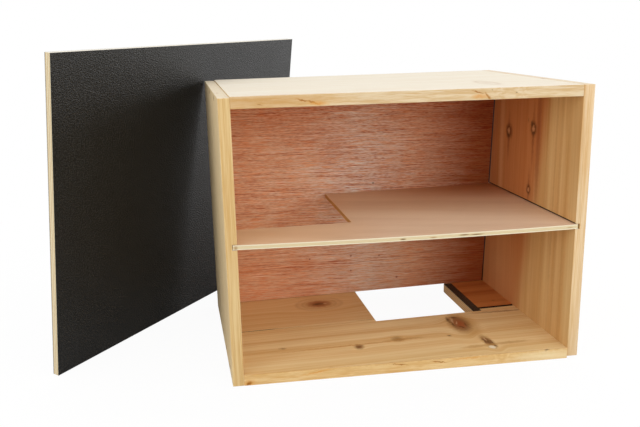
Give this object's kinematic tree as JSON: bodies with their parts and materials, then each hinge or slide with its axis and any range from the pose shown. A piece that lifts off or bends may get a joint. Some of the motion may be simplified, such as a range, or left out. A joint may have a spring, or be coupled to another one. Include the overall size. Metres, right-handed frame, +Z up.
{
  "type": "hedgehog house",
  "caption": "Wooden hedgehog house lying on its front wall, film-faced roof panel off and leaning behind: raised plywood floor, sliding partition with a doorway, entrance at floor level.",
  "frame": {"origin": "the point of the upper front plank's outer face halfway across the house and 80 mm from the high end of the open rim; the house lies on this face", "axes": "+Z up as it lies, from the front wall to the rear wall; +X from the left wall to the right wall; +Y from the open top to the foot of the house"},
  "size_m": [0.6732, 0.533, 0.4082],
  "materials": {
    "pine_board": "planed, unvarnished",
    "floor_ply": "reddish hardwood veneer, unvarnished",
    "partition_ply": "smooth sanded veneer",
    "film_faced_ply": "textured black phenolic film, pale sawn edges",
    "screw_steel": "yellow passivated"
  },
  "bodies": {
    "house": {"left_wall": "pine_board", "right_wall": "pine_board", "rear_wall": "pine_board", "front_upper_plank": "pine_board", "front_lower_left_plank": "pine_board", "front_lower_right_plank": "pine_board", "entrance_jamb": "film_faced_ply", "floor_panel": "floor_ply", "floor_bearer_front": "pine_board", "floor_bearer_rear": "pine_board", "left_wall_screws": "screw_steel", "right_wall_screws": "screw_steel"},
    "partition": {"partition_panel": "partition_ply"},
    "lid": {"lid_panel": "film_faced_ply"}
  },
  "joints": [
    {"name": "partition_slide", "type": "slide", "parent": "house", "child": "partition", "axis": [0, -1, 0], "range_m": [0, 0.28]},
    {"name": "lid_lift", "type": "slide", "parent": "house", "child": "lid", "axis": [0, 0, 1], "range_m": [0, 0.37]}
  ]
}
